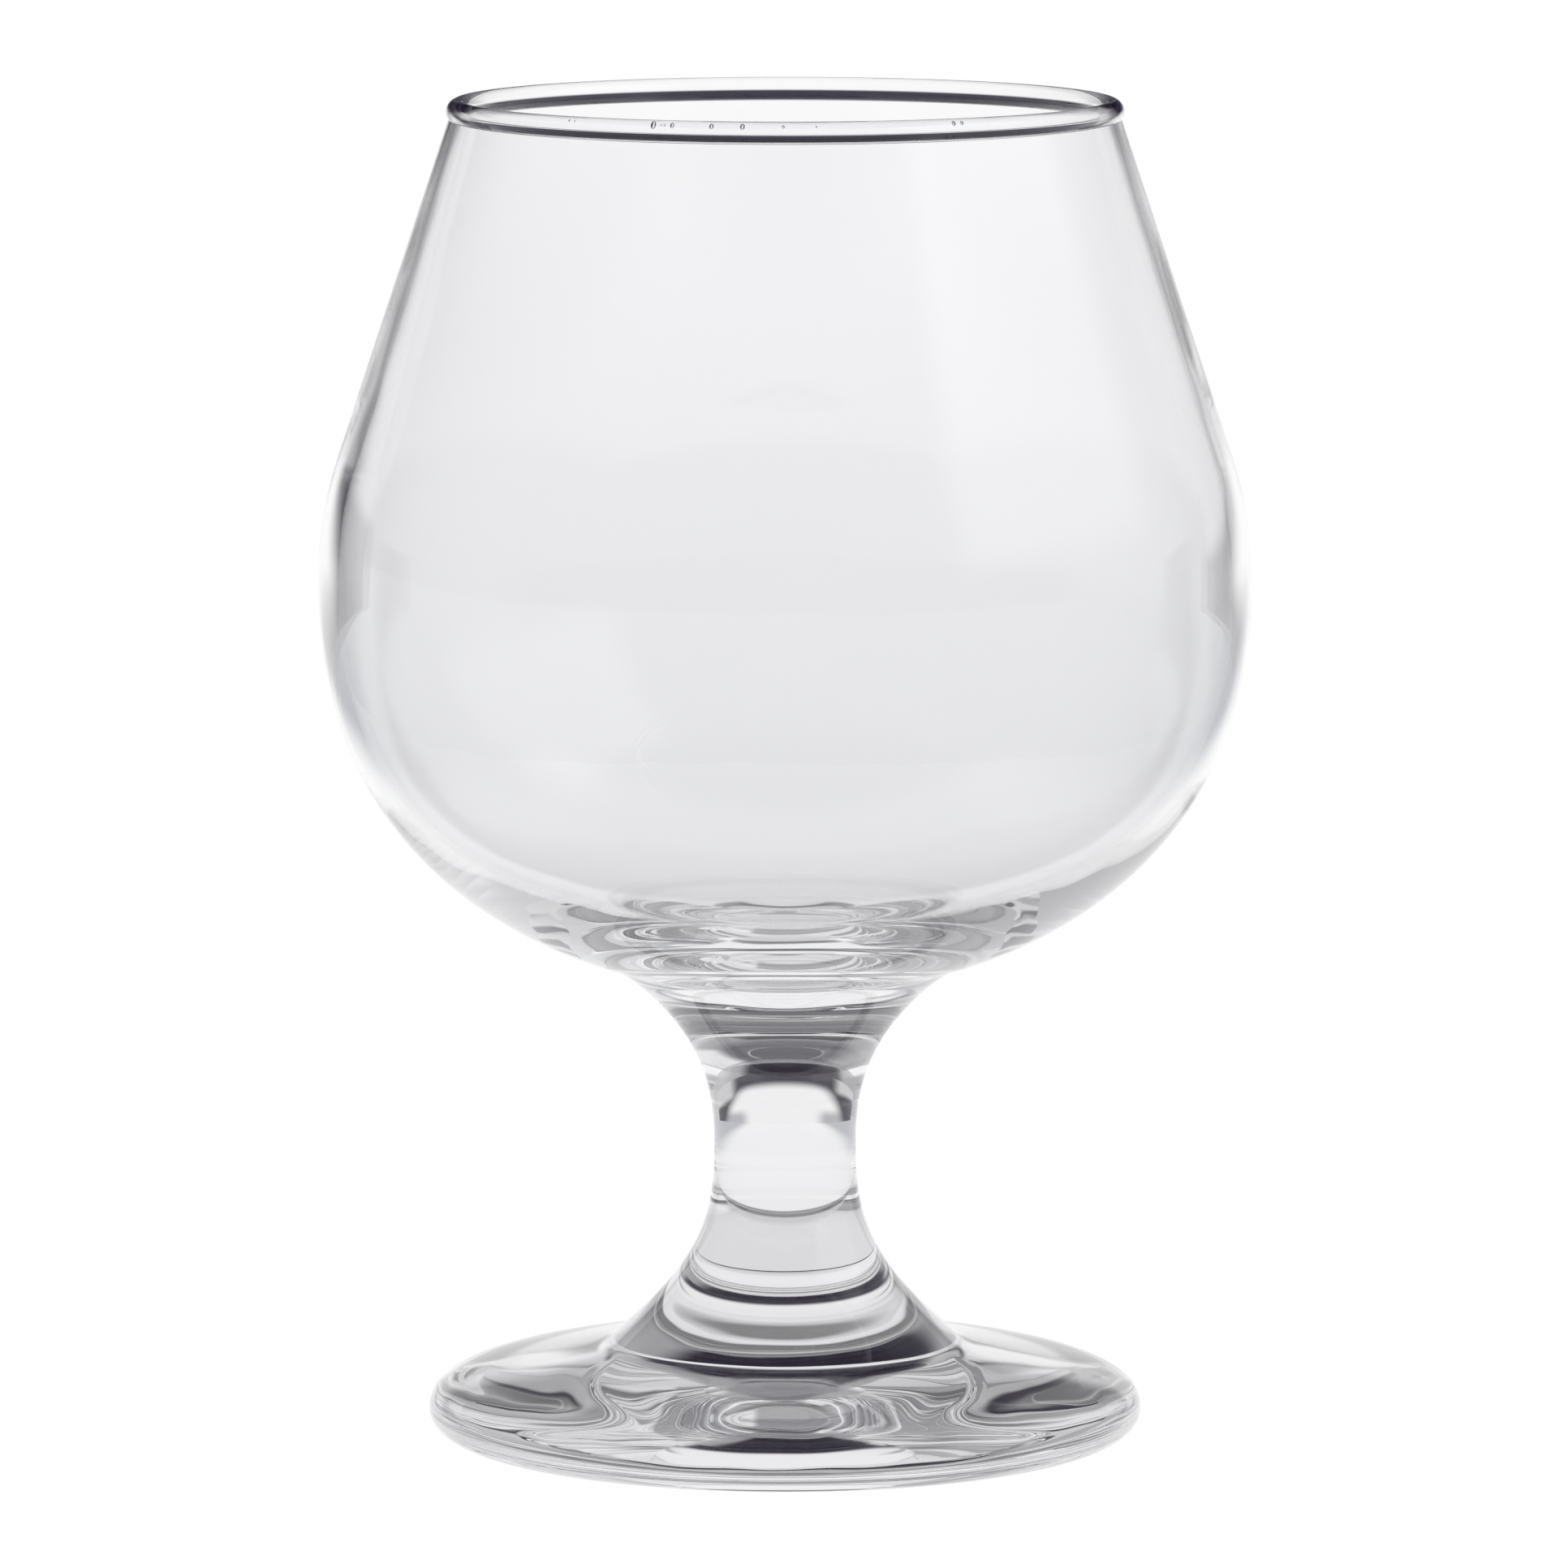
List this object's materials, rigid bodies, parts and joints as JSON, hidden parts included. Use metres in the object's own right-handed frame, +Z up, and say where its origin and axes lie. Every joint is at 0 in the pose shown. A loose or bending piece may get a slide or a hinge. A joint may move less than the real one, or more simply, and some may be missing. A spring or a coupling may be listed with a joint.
{
  "type": "brandy snifter",
  "caption": "Clear stemmed snifter: a wide bowl narrowing to a rolled rim, on a short waisted stem and a round foot.",
  "frame": {"origin": "on the table, at the centre of the foot, under the stem's axis", "axes": "+Z up along the glass's axis of turning, from the foot to the rim; X and Y level, all directions about +Z alike"},
  "size_m": [0.089, 0.089, 0.128],
  "materials": {
    "glass": "clear colourless soda-lime glass, fire-polished smooth"
  },
  "bodies": {
    "root": {"rim_bead": "glass", "bowl": "glass", "bowl_button": "glass", "stem": "glass", "foot": "glass"}
  },
  "joints": []
}
